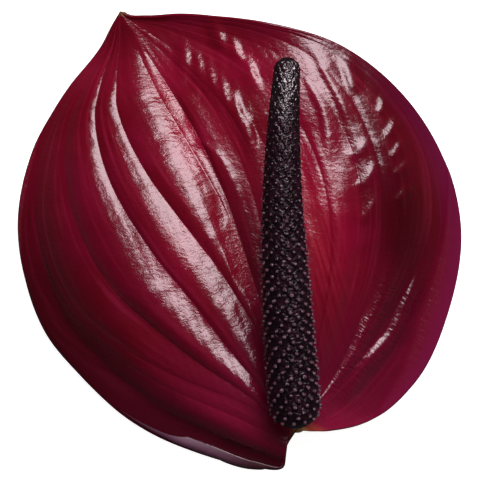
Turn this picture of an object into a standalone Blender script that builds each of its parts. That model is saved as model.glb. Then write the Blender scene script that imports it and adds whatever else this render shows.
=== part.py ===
"""Cut anthurium: a lacquered, pleated spathe, its dark spadix and a short piece of the flower stalk.

The flower lies on its back. +Y runs along the spathe's midrib from the stalk to the tip, +X is to the
right of it, +Z is up, out of the spathe's face, and Z = 0 is the surface that the flower lies on.
Shapes are worked out in millimetres from the base, where the stalk meets the spathe, and the finished
flower is then centred over the origin, in metres.
"""
import bpy
import math
import numpy as np

MM = 0.001
CLEARANCE = 0.3

# Spathe: its outline and midrib seen from above, from the base to the tip
LEFT_EDGE = [(0, 0), (-4.9, -3.7), (-7.2, -7.8), (-14.3, -3.7), (-23.1, 4.3), (-38.9, 20.8), (-48.4, 37.9),
             (-53.6, 51.5), (-53.9, 66.4), (-49.7, 82.8), (-38.2, 99.9), (-21.7, 112.9), (-8.2, 120.3),
             (-3.3, 124.3), (-0.1, 126.6)]
RIGHT_EDGE = [(0, 0), (3.2, -1.8), (9.0, -3.8), (19.6, -6.0), (35.4, -1.1), (51.9, 13.7), (63.9, 33.1),
              (67.4, 51.4), (63.8, 74.2), (52.9, 93.8), (35.4, 107.9), (24.6, 114.2), (15.0, 119.0),
              (6.2, 122.1), (1.3, 124.5), (-0.1, 126.6)]
MIDRIB = [(0, 0), (2.6, 18), (5.2, 46), (6.9, 71), (6.5, 85), (2.6, 111), (-0.1, 126.6)]

# Veins, from the midrib to the margin: how far across the half each one lies, at 10%, 40% and 80%
# of the way from the base to the tip
VEIN_STATIONS = (0.1, 0.4, 0.8)
LEFT_VEINS = [(0, 0, 0), (0.05, 0.01, 0.10), (0.06, 0.15, 0.43), (0.305, 0.355, 0.60), (0.405, 0.595, 0.80),
              (0.45, 0.78, 0.90), (0.62, 0.84, 0.94), (1, 1, 1)]
RIGHT_VEINS = [(0, 0, 0), (0.06, 0.10, 0.19), (0.16, 0.25, 0.30), (0.22, 0.395, 0.56), (0.315, 0.54, 0.77),
               (0.40, 0.64, 0.885), (0.44, 0.86, 0.955), (0.68, 0.91, 0.985), (1, 1, 1)]

# Heights as (share of the way from base to tip, millimetres)
MIDRIB_HEIGHT = [(0, 20), (0.2, 23), (0.5, 19), (0.75, 12.2), (0.88, 6.8), (1, 6)]
LEFT_EDGE_HEIGHT = [(0, 20), (0.03, 18), (0.07, 15), (0.2, 10), (0.4, 1.5), (0.6, -3.5), (0.75, -0.8),
                    (0.85, 3), (0.93, 1.5), (1, 6)]
RIGHT_EDGE_HEIGHT = [(0, 20), (0.03, 19), (0.1, 2.5), (0.2, -3.5), (0.42, -3), (0.55, 5.5), (0.65, 10.5),
                     (0.8, 15), (0.9, 10), (1, 6)]
LEFT_CROWN = [(0, 0), (0.08, 4), (0.15, 8), (0.27, 9), (0.4, 10.8), (0.55, 11.6), (0.7, 8), (0.8, 4.5),
              (0.9, 0.5), (1, 0)]
RIGHT_CROWN = [(0, 0), (0.15, 0.5), (0.35, 8.5), (0.45, 11), (0.57, 7.5), (0.7, 3.5), (0.8, -1.5),
               (0.9, -1.5), (1, 0)]
LEFT_CREST = [(0, 0.65), (0.25, 0.74), (0.5, 0.64), (0.75, 0.6), (1, 0.3)]
RIGHT_CREST = [(0, 0.45), (0.3, 0.38), (0.5, 0.67), (0.75, 0.58), (1, 0.65)]
LEFT_PLEAT = [(0, 0), (0.05, 0.5), (0.2, 1.8), (0.35, 2.1), (0.5, 1.4), (0.65, 1.4), (0.78, 0.8),
              (0.9, 0.2), (1, 0)]
RIGHT_PLEAT = [(0, 0), (0.05, 1.5), (0.2, 1.6), (0.35, 1.0), (0.5, 0.6), (0.7, 0.2), (0.9, 0.1), (1, 0)]
LEFT_DEPTHS = (1.6, 1.1, 0.9, 1.3, 0.4, 0.4, 0.6)
LEFT_LEAN = [(0, 0), (0.2, 0.7), (0.45, 0.7), (0.7, 0), (1, 0)]
RIGHT_DEPTHS = (0.4, 0.8, 0.5, 1.3, 0.5, 0.7, 0.8, 0.5)
RIGHT_LEAN = [(0, -0.4), (0.5, -0.5), (0.7, 0), (1, 0)]
STEEPEST_PLEAT = 0.45

# Cupped rim of the lower left lobe
RIM_STARTS = 0.90
RIM_RISE = [(0, 0), (0.05, 1), (0.12, 5), (0.25, 5.5), (0.4, 4.5), (0.5, 3), (0.62, 1.2), (0.75, 0), (1, 0)]
RIM_BULGE = [(0, 0), (0.05, 1), (0.1, 2.9), (0.17, 4.8), (0.29, 5.2), (0.39, 4.3), (0.47, 3.3), (0.55, 2.6),
             (0.64, 1.4), (0.75, 0), (1, 0)]

# Level pad at the base, where the stalk and the spadix meet the spathe
PAD_REACH = 3.6
PAD_BLEND = 5.0

# Spathe as a solid sheet
SHEET = 0.9
SETTLING = 1.0
LEVEL_WITHIN = 0.01
ROWS = 44
ROW_CROWDING = 1.45
PLEAT_STRIPS = 3
RIM_STRIPS = 7
RIM_CROWDING = 1.7

# Spadix
SPADIX_PATH = [(0.0, 0.6, 27.8), (10.0, 30.5, 37.5), (20.0, 58.0, 45.5), (29.5, 79.6, 48.5),
               (37.7, 95.9, 46.8)]
SPADIX_WIDTHS = [(0, 14.2), (0.25, 13.8), (0.5, 12.4), (0.75, 10.0), (0.9, 8.3), (1, 7.2)]
SPADIX_RINGS = 63
FLORETS_ROUND = 12
FLORET_RELIEF = 0.55
SPIRAL = 0.22
SPIRAL_RINGS = 24
ENDS_NARROW_TO = 0.3
BASE_POINT = 0.6
TIP_POINT = 0.5
PATH_SAMPLES = 200
NECK_WIDTH = 4.6
NECK_SIDES = 20

# Stalk, straight down behind the base
STALK_PLACE = (0.7, 2.2)
STALK_WIDTH = 5.6
COLLAR_WIDTH = 6.8
COLLAR_HEIGHT = 2.4
CUT_EDGE = 1.0
CUT_WIDTH = 5.3
STALK_SIDES = 24

# Finishes: colour and roughness
SPATHE_FINISH = ((0.23, 0.003, 0.028), 0.16)
SPADIX_FINISH = ((0.012, 0.004, 0.012), 0.35)
STALK_FINISH = ((0.19, 0.12, 0.03), 0.5)
SMOOTH_BELOW = 50


def hermite(knots, values, share):
    """Smooth curve through values at knots, read at share."""
    step = np.diff(knots)
    slope = np.diff(values, axis=0) / step[:, None]
    tangent = np.zeros_like(values)
    before, after = step[:-1, None], step[1:, None]
    tangent[1:-1] = (slope[:-1] * after + slope[1:] * before) / (before + after)
    tangent[0] = slope[0]
    tangent[-1] = slope[-1]
    i = np.clip(np.searchsorted(knots, share, side="right") - 1, 0, len(step) - 1)
    w = ((share - knots[i]) / step[i])[..., None]
    run = step[i][..., None]
    return ((2 * w**3 - 3 * w**2 + 1) * values[i] + (w**3 - 2 * w**2 + w) * run * tangent[i]
            + (3 * w**2 - 2 * w**3) * values[i + 1] + (w**3 - w**2) * run * tangent[i + 1])


def along(points, share):
    """Point at a share of the way along a smooth line through points."""
    points = np.array(points, float)
    knots = np.append(0, np.cumsum(np.linalg.norm(np.diff(points, axis=0), axis=1)))
    return hermite(knots / knots[-1], points, np.asarray(share, float))


def at_share(pairs, share):
    """Value at a share of the way, from (share, value) pairs."""
    pairs = np.array(pairs, float)
    return hermite(pairs[:, 0], pairs[:, 1:], np.asarray(share, float))[..., 0]


def vein_lines(veins, share):
    """How far across its half each vein lies at each share: an array of veins by shares."""
    stations = np.array(VEIN_STATIONS)
    held = np.clip(share, stations[0], stations[-1])
    return hermite(stations, np.array(veins, float).T, held).T


def settled(height):
    """Heights of the upper face, level where the sheet would otherwise sink below the surface."""
    above = height - SHEET
    rounded = (np.clip(above, -SETTLING, SETTLING) + SETTLING)**2 / (4 * SETTLING)
    return SHEET + np.maximum(rounded, above)


def half_surface(side, column, share):
    """Points of the spathe's upper face on one side of the midrib, columns by shares.

    side is -1 on the left and 1 on the right. column is 0 at the midrib and a whole number at each
    vein, up to the margin. share is 0 at the base and 1 at the tip.
    """
    left = side < 0
    lines = vein_lines(LEFT_VEINS if left else RIGHT_VEINS, share)
    pleat = np.minimum(np.floor(column).astype(int), len(lines) - 2)
    within = (column - pleat)[:, None]
    inner, outer = lines[pleat], lines[pleat + 1]
    across = np.clip(inner + (outer - inner) * within, 0, 1)

    midrib = along(MIDRIB, share)
    reach = along(LEFT_EDGE if left else RIGHT_EDGE, share) - midrib
    half_width = np.linalg.norm(reach, axis=1)
    plan = midrib + across[..., None] * reach

    valley = at_share(MIDRIB_HEIGHT, share)
    edge = at_share(LEFT_EDGE_HEIGHT if left else RIGHT_EDGE_HEIGHT, share)
    crown = at_share(LEFT_CROWN if left else RIGHT_CROWN, share)
    crest = at_share(LEFT_CREST if left else RIGHT_CREST, share)
    from_crest = np.where(across < crest, across / crest - 1, (across - crest) / (1 - crest))
    height = valley + (edge - valley) * across + crown * (1 - from_crest**2)

    depth = at_share(LEFT_PLEAT if left else RIGHT_PLEAT, share)
    steepest = STEEPEST_PLEAT * np.maximum((outer - inner) * half_width, 0) / 4
    deep = np.array(LEFT_DEPTHS if left else RIGHT_DEPTHS)[pleat][:, None]
    lean = at_share(LEFT_LEAN if left else RIGHT_LEAN, share)
    fold = (1 - (2 * within - 1)**2) * (1 + lean * (2 * within - 1))
    height = height + np.minimum(depth, steepest) * deep * fold

    if left:
        outward = reach / np.maximum(half_width, 0.1)[:, None]
        rim = np.clip((across - RIM_STARTS) / (1 - RIM_STARTS), 0, 1)
        bulge = at_share(RIM_BULGE, share) * np.sin(math.pi * rim)
        plan = plan + outward * bulge[..., None]
        height = height + at_share(RIM_RISE, share) * rim**2
    from_base = np.linalg.norm(plan - STALK_PLACE, axis=2)
    leaving = np.clip((from_base - PAD_REACH) / PAD_BLEND, 0, 1)
    base_height = MIDRIB_HEIGHT[0][1]
    height = base_height + (height - base_height) * leaving**2 * (3 - 2 * leaving)
    return np.concatenate([plan, settled(height)[..., None]], axis=2)


def pleat_columns(veins, last_strips, crowding):
    """Column numbers from the midrib to the margin, each pleat in strips, the last ones crowded outwards."""
    pleats = len(veins) - 1
    columns = [k + i / PLEAT_STRIPS for k in range(pleats - 1) for i in range(PLEAT_STRIPS)]
    columns += [pleats - (1 - i / last_strips)**crowding for i in range(last_strips + 1)]
    return np.array(columns)


def spathe_rows():
    """Rows of points from the left margin over the midrib to the right margin, without the two ends."""
    share = (np.arange(1, ROWS) / ROWS) ** ROW_CROWDING
    left = half_surface(-1, pleat_columns(LEFT_VEINS, RIM_STRIPS, RIM_CROWDING), share)
    right = half_surface(1, pleat_columns(RIGHT_VEINS, PLEAT_STRIPS, 1), share)
    return np.concatenate([left[:0:-1], right]).transpose(1, 0, 2)


def end_point(share):
    """Base or tip of the midrib, on the upper face."""
    place = along(MIDRIB, np.array([share]))[0]
    return np.append(place, at_share(MIDRIB_HEIGHT, np.array([share]))[0])


def eased(grid, turns):
    """Grid of vectors averaged with its neighbours."""
    for _ in range(turns):
        padded = np.pad(grid, ((1, 1), (1, 1), (0, 0)), mode="edge")
        grid = (grid * 2 + padded[:-2, 1:-1] + padded[2:, 1:-1] + padded[1:-1, :-2] + padded[1:-1, 2:]) / 6
        grid = grid / np.linalg.norm(grid, axis=2, keepdims=True)
    return grid


def sheet_normals(rows):
    """Upward unit normals over the grid, eased so that the under face never folds."""
    lengthways = np.gradient(rows, axis=0)
    crossways = np.gradient(rows, axis=1)
    normals = np.cross(crossways, lengthways)
    normals = normals / np.linalg.norm(normals, axis=2, keepdims=True)
    return eased(normals, 2)


def make_object(name, points, faces, finish):
    """Object in metres from points in millimetres, with its own material."""
    mesh = bpy.data.meshes.new(name)
    mesh.from_pydata([tuple(float(v) * MM for v in point) for point in points], [], faces)
    mesh.validate()
    mesh.shade_smooth()
    mesh.set_sharp_from_angle(angle=math.radians(SMOOTH_BELOW))
    made = bpy.data.objects.new(name, mesh)
    bpy.context.scene.collection.objects.link(made)
    made.data.materials.append(make_material(name, *finish))
    return made


def make_material(name, colour, roughness):
    """Plain surface of one colour."""
    material = bpy.data.materials.new(name)
    material.use_nodes = True
    surface = material.node_tree.nodes["Principled BSDF"]
    surface.inputs["Base Color"].default_value = (*colour, 1)
    surface.inputs["Roughness"].default_value = roughness
    surface.inputs["Metallic"].default_value = 0
    return material


def make_spathe():
    """Pleated bract: an upper and an under face with the same triangles, joined round the margin."""
    rows = spathe_rows()
    count, width = rows.shape[:2]
    normals = sheet_normals(rows)
    under = rows - SHEET * normals
    under[..., 2] = np.where(rows[..., 2] < SHEET + LEVEL_WITHIN, 0, under[..., 2])
    base, tip = end_point(0), end_point(1)
    base_under = base - (0, 0, SHEET)
    tip_under = tip - SHEET * normals[-1, width // 2]
    points = [*rows.reshape(-1, 3), *under.reshape(-1, 3), base, tip, base_under, tip_under]
    points = np.array(points)
    points[:, 2] = np.maximum(points[:, 2], 0)

    layer = count * width
    base_at, tip_at, base_under_at, tip_under_at = range(2 * layer, 2 * layer + 4)
    upper = []
    for i in range(count - 1):
        for j in range(width - 1):
            a = i * width + j
            b, c, d = a + 1, a + 1 + width, a + width
            upper += [(a, b, c), (a, c, d)]
    faces = list(upper)
    faces += [tuple(layer + v for v in reversed(face)) for face in upper]
    last = (count - 1) * width
    for j in range(width - 1):
        faces.append((base_at, j + 1, j))
        faces.append((base_under_at, layer + j, layer + j + 1))
        faces.append((tip_at, last + j, last + j + 1))
        faces.append((tip_under_at, layer + last + j + 1, layer + last + j))
    left_margin = [base_at] + [i * width for i in range(count)] + [tip_at]
    left_under = [base_under_at] + [layer + i * width for i in range(count)] + [tip_under_at]
    right_margin = [base_at] + [i * width + width - 1 for i in range(count)] + [tip_at]
    right_under = [base_under_at] + [layer + i * width + width - 1 for i in range(count)] + [tip_under_at]
    for k in range(count + 1):
        a, b, c, d = left_margin[k], left_margin[k + 1], left_under[k + 1], left_under[k]
        faces += [(a, b, c), (a, c, d)]
        a, b, c, d = right_margin[k], right_margin[k + 1], right_under[k + 1], right_under[k]
        faces += [(a, c, b), (a, d, c)]
    return make_object("spathe", points, faces, SPATHE_FINISH)


def ring_frames(share):
    """Centres, sideways and upward directions of the spadix's rings."""
    centres = along(SPADIX_PATH, share)
    ahead = np.gradient(centres, axis=0)
    ahead = ahead / np.linalg.norm(ahead, axis=1, keepdims=True)
    sideways = np.cross(ahead, (0, 0, 1))
    sideways = sideways / np.linalg.norm(sideways, axis=1, keepdims=True)
    return centres, sideways, np.cross(sideways, ahead)


def make_spadix():
    """Tapered spike: its florets are raised in a diamond lattice, and a short neck stands on the base."""
    share = np.linspace(0, 1, SPADIX_RINGS)
    steps = np.diff(along(SPADIX_PATH, np.linspace(0, 1, PATH_SAMPLES)), axis=0)
    path_length = float(np.linalg.norm(steps, axis=1).sum())
    radius = at_share(SPADIX_WIDTHS, share) / 2
    from_base = share * path_length
    from_tip = path_length - from_base
    base_round, tip_round = radius[0], radius[-1]
    round_base = np.sqrt(np.clip(1 - (1 - from_base / base_round)**2, ENDS_NARROW_TO**2, 1))
    round_tip = np.sqrt(np.clip(1 - (1 - from_tip / tip_round)**2, ENDS_NARROW_TO**2, 1))
    radius = radius * np.where(from_base < base_round, round_base, 1)
    radius = radius * np.where(from_tip < tip_round, round_tip, 1)
    centres, sideways, upward = ring_frames(share)

    sides = 2 * FLORETS_ROUND
    points = []
    for i in range(SPADIX_RINGS):
        twist = SPIRAL * min(i, SPIRAL_RINGS)
        for j in range(sides):
            angle = math.tau * (j + twist) / sides
            raised = FLORET_RELIEF if (i + j) % 2 == 0 else 0
            reach = radius[i] + raised - FLORET_RELIEF
            points.append(centres[i] + reach * (math.cos(angle) * sideways[i] + math.sin(angle) * upward[i]))
    ahead = np.cross(upward, sideways)
    base_at = len(points)
    points.append(centres[0] - BASE_POINT * ahead[0])
    points.append(centres[-1] + TIP_POINT * ahead[-1])

    faces = []
    for i in range(SPADIX_RINGS - 1):
        for j in range(sides):
            a, b = i * sides + j, i * sides + (j + 1) % sides
            d, c = a + sides, b + sides
            if (i + j) % 2 == 0:
                faces += [(a, c, b), (a, d, c)]
            else:
                faces += [(a, d, b), (b, d, c)]
    last = (SPADIX_RINGS - 1) * sides
    for j in range(sides):
        faces.append((base_at, j, (j + 1) % sides))
        faces.append((base_at + 1, last + (j + 1) % sides, last + j))
    made = make_object("spadix", points, faces, SPADIX_FINISH)
    add_neck(made)
    return made


def turned(rings, sides):
    """Upright turned solid over STALK_PLACE: rings are (height, width), from the bottom up."""
    points = []
    for height, width in rings:
        for j in range(sides):
            angle = math.tau * j / sides
            x = STALK_PLACE[0] + width / 2 * math.cos(angle)
            y = STALK_PLACE[1] + width / 2 * math.sin(angle)
            points.append((x, y, height))
    faces = [tuple(range(sides - 1, -1, -1))]
    for i in range(len(rings) - 1):
        for j in range(sides):
            a, b = i * sides + j, i * sides + (j + 1) % sides
            faces.append((a, b, b + sides, a + sides))
    faces.append(tuple(range((len(rings) - 1) * sides, len(rings) * sides)))
    return points, faces


def add_neck(spadix):
    """Short neck under the spadix's base, down to the spathe, joined to it."""
    bottom = MIDRIB_HEIGHT[0][1] + CLEARANCE
    top = SPADIX_PATH[0][2]
    points, faces = turned([(bottom, NECK_WIDTH), (top, NECK_WIDTH)], NECK_SIDES)
    neck = make_object("neck", points, faces, SPADIX_FINISH)
    joined = spadix.modifiers.new("neck", "BOOLEAN")
    joined.operation = "UNION"
    joined.solver = "EXACT"
    joined.object = neck
    bpy.context.view_layer.update()
    evaluated = spadix.evaluated_get(bpy.context.evaluated_depsgraph_get())
    solid = bpy.data.meshes.new_from_object(evaluated)
    spadix.modifiers.clear()
    spadix.data = solid
    bpy.data.objects.remove(neck)


def make_stalk():
    """Cut flower stalk: a collar under the spathe's base and a short round stem."""
    top = MIDRIB_HEIGHT[0][1] - SHEET - CLEARANCE
    collar = top - COLLAR_HEIGHT
    rings = [(0, CUT_WIDTH), (CUT_EDGE, STALK_WIDTH), (collar, STALK_WIDTH), (top, COLLAR_WIDTH)]
    return make_object("stem", *turned(rings, STALK_SIDES), STALK_FINISH)


def centre_over_origin(objects):
    """Move the meshes so that the flower's box is centred over the origin."""
    points = np.array([vertex.co for made in objects for vertex in made.data.vertices])
    middle = (points.min(axis=0) + points.max(axis=0)) / 2
    for made in objects:
        for vertex in made.data.vertices:
            vertex.co.x -= middle[0]
            vertex.co.y -= middle[1]


def clear_scene():
    for old in list(bpy.data.objects):
        bpy.data.objects.remove(old)


def main():
    clear_scene()
    centre_over_origin([make_spathe(), make_spadix(), make_stalk()])


main()
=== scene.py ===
"""Cut anthurium: the fine surfaces and finishes of a lacquered spathe, its dark spadix and the stalk.

The flower lies on its back. +Y runs along the spathe's midrib from the stalk to the tip, +X is to the
right of it and +Z is up. Shapes are worked out in millimetres from the base, where the stalk meets the
spathe, and each mesh is then put in its place in metres.
"""

import bpy
import math
import numpy as np
from mathutils import Matrix, Vector, noise
from types import SimpleNamespace


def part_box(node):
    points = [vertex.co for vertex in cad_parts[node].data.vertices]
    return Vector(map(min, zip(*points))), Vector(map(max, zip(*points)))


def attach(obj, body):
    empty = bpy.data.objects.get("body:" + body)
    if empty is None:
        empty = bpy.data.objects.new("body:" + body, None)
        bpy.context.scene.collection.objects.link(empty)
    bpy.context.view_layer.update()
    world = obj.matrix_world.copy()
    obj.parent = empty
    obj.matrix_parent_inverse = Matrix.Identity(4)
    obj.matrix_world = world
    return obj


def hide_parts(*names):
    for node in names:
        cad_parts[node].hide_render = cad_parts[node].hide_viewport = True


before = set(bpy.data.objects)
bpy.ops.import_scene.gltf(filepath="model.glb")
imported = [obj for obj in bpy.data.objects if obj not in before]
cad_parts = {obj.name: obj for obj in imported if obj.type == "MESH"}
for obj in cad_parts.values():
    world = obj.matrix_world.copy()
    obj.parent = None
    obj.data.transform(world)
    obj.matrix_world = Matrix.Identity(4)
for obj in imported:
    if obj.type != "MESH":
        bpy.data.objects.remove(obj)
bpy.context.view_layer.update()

MM = 0.001
SMALLEST = 1e-9

# Spathe: its outline and midrib seen from above, from the base to the tip
LEFT_EDGE = [(0, 0), (-4.9, -3.7), (-7.2, -7.8), (-14.3, -3.7), (-23.1, 4.3), (-38.9, 20.8), (-48.4, 37.9),
             (-53.6, 51.5), (-53.9, 66.4), (-49.7, 82.8), (-38.2, 99.9), (-21.7, 112.9), (-8.2, 120.3),
             (-3.3, 124.3), (-0.1, 126.6)]
RIGHT_EDGE = [(0, 0), (3.2, -1.8), (9.0, -3.8), (19.6, -6.0), (35.4, -1.1), (51.9, 13.7), (63.9, 33.1),
              (67.4, 51.4), (63.8, 74.2), (52.9, 93.8), (35.4, 107.9), (24.6, 114.2), (15.0, 119.0),
              (6.2, 122.1), (1.3, 124.5), (-0.1, 126.6)]
MIDRIB = [(0, 0), (2.6, 18), (5.2, 46), (6.9, 71), (6.5, 85), (2.6, 111), (-0.1, 126.6)]

# Veins, from the midrib to the margin: how far across the half each one lies, at 10%, 40% and 80%
# of the way from the base to the tip
VEIN_STATIONS = (0.1, 0.4, 0.8)
LEFT_VEINS = [(0, 0, 0), (0.05, 0.01, 0.10), (0.06, 0.15, 0.43), (0.305, 0.355, 0.60), (0.405, 0.595, 0.80),
              (0.45, 0.78, 0.90), (0.62, 0.84, 0.94), (1, 1, 1)]
RIGHT_VEINS = [(0, 0, 0), (0.06, 0.10, 0.19), (0.16, 0.25, 0.30), (0.22, 0.395, 0.56), (0.315, 0.54, 0.77),
               (0.40, 0.64, 0.885), (0.44, 0.86, 0.955), (0.68, 0.91, 0.985), (1, 1, 1)]

# Heights as (share of the way from base to tip, millimetres): the midrib, the margins, the crown that
# each half rises to between them and the depth of its pleats
MIDRIB_HEIGHT = [(0, 20), (0.2, 23), (0.5, 19), (0.75, 12.2), (0.88, 6.8), (1, 6)]
LEFT_EDGE_HEIGHT = [(0, 20), (0.03, 18), (0.07, 15), (0.2, 10), (0.4, 1.5), (0.6, -3.5), (0.75, -0.8),
                    (0.85, 3), (0.93, 1.5), (1, 6)]
RIGHT_EDGE_HEIGHT = [(0, 20), (0.03, 19), (0.1, 2.5), (0.2, -3.5), (0.42, -3), (0.55, 5.5), (0.65, 10.5),
                     (0.8, 15), (0.9, 10), (1, 6)]
LEFT_CROWN = [(0, 0), (0.08, 4), (0.15, 8), (0.27, 9), (0.4, 10.8), (0.55, 11.6), (0.7, 8), (0.8, 4.5),
              (0.9, 0.5), (1, 0)]
RIGHT_CROWN = [(0, 0), (0.15, 0.5), (0.35, 8.5), (0.45, 11), (0.57, 7.5), (0.7, 3.5), (0.8, -1.5),
               (0.9, -1.5), (1, 0)]
LEFT_PLEAT = [(0, 0), (0.05, 0.5), (0.2, 1.8), (0.35, 2.1), (0.5, 1.4), (0.65, 1.4), (0.78, 0.8),
              (0.9, 0.2), (1, 0)]
RIGHT_PLEAT = [(0, 0), (0.05, 1.5), (0.2, 1.6), (0.35, 1.0), (0.5, 0.6), (0.7, 0.2), (0.9, 0.1), (1, 0)]

# Where the crown lies across each half, how the pleats lean, and how deep each one is beside the others
LEFT_CREST = [(0, 0.65), (0.25, 0.74), (0.5, 0.64), (0.75, 0.6), (1, 0.3)]
RIGHT_CREST = [(0, 0.45), (0.3, 0.38), (0.5, 0.67), (0.75, 0.58), (1, 0.65)]
LEFT_LEAN = [(0, 0), (0.2, 0.7), (0.45, 0.7), (0.7, 0), (1, 0)]
RIGHT_LEAN = [(0, -0.4), (0.5, -0.5), (0.7, 0), (1, 0)]
LEFT_DEPTHS = (0.5, 1.1, 0.9, 1.3, 0.4, 0.4, 0.6)
RIGHT_DEPTHS = (0.4, 0.8, 0.5, 1.3, 0.5, 0.7, 0.4, 0.2)
STEEPEST_PLEAT = 0.45

LEFT = SimpleNamespace(side=-1, edge=LEFT_EDGE, veins=LEFT_VEINS, edge_height=LEFT_EDGE_HEIGHT,
                       crown=LEFT_CROWN, crest=LEFT_CREST, pleat=LEFT_PLEAT, lean=LEFT_LEAN,
                       depths=LEFT_DEPTHS, cupped=True, seed=3)
RIGHT = SimpleNamespace(side=1, edge=RIGHT_EDGE, veins=RIGHT_VEINS, edge_height=RIGHT_EDGE_HEIGHT,
                        crown=RIGHT_CROWN, crest=RIGHT_CREST, pleat=RIGHT_PLEAT, lean=RIGHT_LEAN,
                        depths=RIGHT_DEPTHS, cupped=False, seed=17)

# Cupped rim of the lower left lobe
RIM_STARTS = 0.90
RIM_RISE = [(0, 0), (0.05, 1), (0.12, 5), (0.25, 5.5), (0.4, 4.5), (0.5, 3), (0.62, 1.2), (0.75, 0), (1, 0)]
RIM_BULGE = [(0, 0), (0.05, 1), (0.1, 2.9), (0.17, 4.8), (0.29, 5.2), (0.39, 4.3), (0.47, 3.3), (0.55, 2.6),
             (0.64, 1.4), (0.75, 0), (1, 0)]
NARROWEST_HALF = 0.1

# Level pad at the base, and the sheet itself
PAD_REACH = 3.6
PAD_BLEND = 5.0
SHEET = 0.9
SETTLING = 1.0
MIDRIB_LENGTH = 127
LEVEL_WITHIN = 0.01

# Fine mesh of the sheet
STRIP_WIDTH = 0.5
RIM_STRIP_WIDTH = 0.33
FEWEST_STRIPS = 4
WIDTH_STATIONS = np.linspace(0.1, 0.9, 17)
UNDER_STRIPS = 3
GROOVE_CROWDING = 0.55
ROWS = 236
ROW_CROWDING = 1.25
EDGE_STRIPS = 3
EDGE_BULGE = 0.7
NORMAL_EASING = 2

# Small relief on the sheet: ribs along the veins and puckers across them. A grain is the size of the
# noise that varies them, across and along. The shares are those at which the relief begins, is whole,
# fades and ends.
RIB_STEP = 2.6
RIB_HEIGHT = 0.035
RIB_MEAN = 0.6
RIB_VARIES = 0.7
RIB_GRAIN = (9, 15)
RIB_WANDER = 2.2
WANDER_GRAIN = (14, 22)
PUCKER_STEP = 3.4
PUCKER_HEIGHT = 0.16
PUCKER_WIDTH = 2.2 * PUCKER_STEP
PUCKER_SLANT = 30
PUCKER_GRAIN = (12, 12)
RELIEF_ACROSS = (0, 0.05, 0.82, 0.95)
RELIEF_ALONG = (0.03, 0.12, 0.9, 0.99)

# Kinds of fold: height, or depth below 0 for a groove, width of the steep side and of the gentle side,
# share of the length at which the fold fades in and out, and how wrinkled it is
CRESCENT = (0.65, 1.8, 2.6, 0.3, 0.5, 0.5)
LOW_CRESCENT = (0.36, 1.8, 2.6, 0.3, 0.5, 0.5)
STROKE = (1.25, 2.6, 3.4, 0.8, 0.9, 1.8)
GAP = (0.60, 2.4, 4.0, 0.3, 0.5, 0)
BROAD_FOLD = (0.75, 5.0, 5.0, 0.3, 0.3, 0)
MIDRIB_FOLD = (0.8, 2.4, 6.0, 0.3, 0.5, 0)
GROOVE = (-0.42, 2.6, 2.2, 0.3, 0.3, 1.0)
CREASE = (0.25, 0.9, 1.6, 0.3, 0.6, 0.5)
LOWER_FOLD = (0.9, 3.4, 4.0, 0.3, 0.3, 5.0)
MARGIN_FOLD = (1.2, 2.9, 4.0, 0.3, 0.3, 4.0)

# Folds: the kind and the line along the steep side, which lies to the left of the way the line runs
FOLDS = [
    (*CRESCENT, [(55.2, 72.7), (56.9, 74.7), (58.4, 77.4)]),
    (*CRESCENT, [(54.6, 66.3), (57, 67.7), (59.2, 70.7)]),
    (*CRESCENT, [(53.9, 60.4), (56.6, 61.7), (59, 64.4)]),
    (*CRESCENT, [(52.8, 55.5), (55.8, 56.3), (58.9, 59.3)]),
    (*CRESCENT, [(50.1, 48.4), (52.6, 49.4), (55.6, 52.1)]),
    (*LOW_CRESCENT, [(42.5, 65), (46.1, 65.6), (49.7, 67.7)]),
    (*LOW_CRESCENT, [(41.4, 56.7), (45.1, 57.5), (49.2, 61.5)]),
    (*LOW_CRESCENT, [(38.7, 47.5), (42.8, 49.3), (46.9, 53.1)]),
    (*GAP, [(37.6, 68.6), (40.2, 80.3), (39.8, 87.4), (39.7, 95.7)]),
    (*GAP, [(46, 74.8), (45.7, 81.3), (45, 88), (44, 98.7)]),
    (*GAP, [(50.2, 80.9), (51, 85.7), (51.4, 92.5)]),
    (*BROAD_FOLD, [(27.6, 47), (30.5, 61), (34.1, 76.2)]),
    (*MIDRIB_FOLD, [(7.5, 68.6), (7, 78.2), (6.2, 85), (5.5, 97.4), (4.6, 103.9), (2.9, 110.1)]),
    (*STROKE, [(13.4, 109.6), (11.9, 104.8), (10.2, 99.4)]),
    (*STROKE, [(15.6, 106.2), (14.4, 100.6), (12.8, 94.6)]),
    (*STROKE, [(17.6, 102.3), (16.5, 96.1), (15.1, 90)]),
    (*STROKE, [(19.4, 97.9), (18.4, 92), (17.1, 85.5)]),
    (*STROKE, [(21, 92.4), (19.9, 85.5), (18.3, 78.3)]),
    (*STROKE, [(21.7, 84.8), (20.5, 78.3), (19.1, 70.7)]),
    (*STROKE, [(24, 111.8), (23.6, 105.9), (23, 100)]),
    (*STROKE, [(26.6, 106.4), (26.3, 100.8), (25.3, 94.8)]),
    (*STROKE, [(28.3, 100.2), (28.1, 94.8), (27.1, 88.9)]),
    (*GROOVE, [(5.3, 67.7), (3.8, 59.2), (3.5, 53.3), (3.2, 49.1), (2.8, 43.8), (2.1, 38.6)]),
    (*CREASE, [(6.5, 85.5), (10, 79), (11, 70.5), (10, 57.5)]),
    (*LOWER_FOLD, [(9, 4.7), (19.6, 11.7), (27.4, 18.5), (36.5, 26.5), (43, 36)]),
    (*MARGIN_FOLD, [(14.4, 2.5), (23, 9.5), (35.4, 15.4), (42, 21.9), (52, 31)]),
]
LINE_SAMPLES = 40

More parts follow.
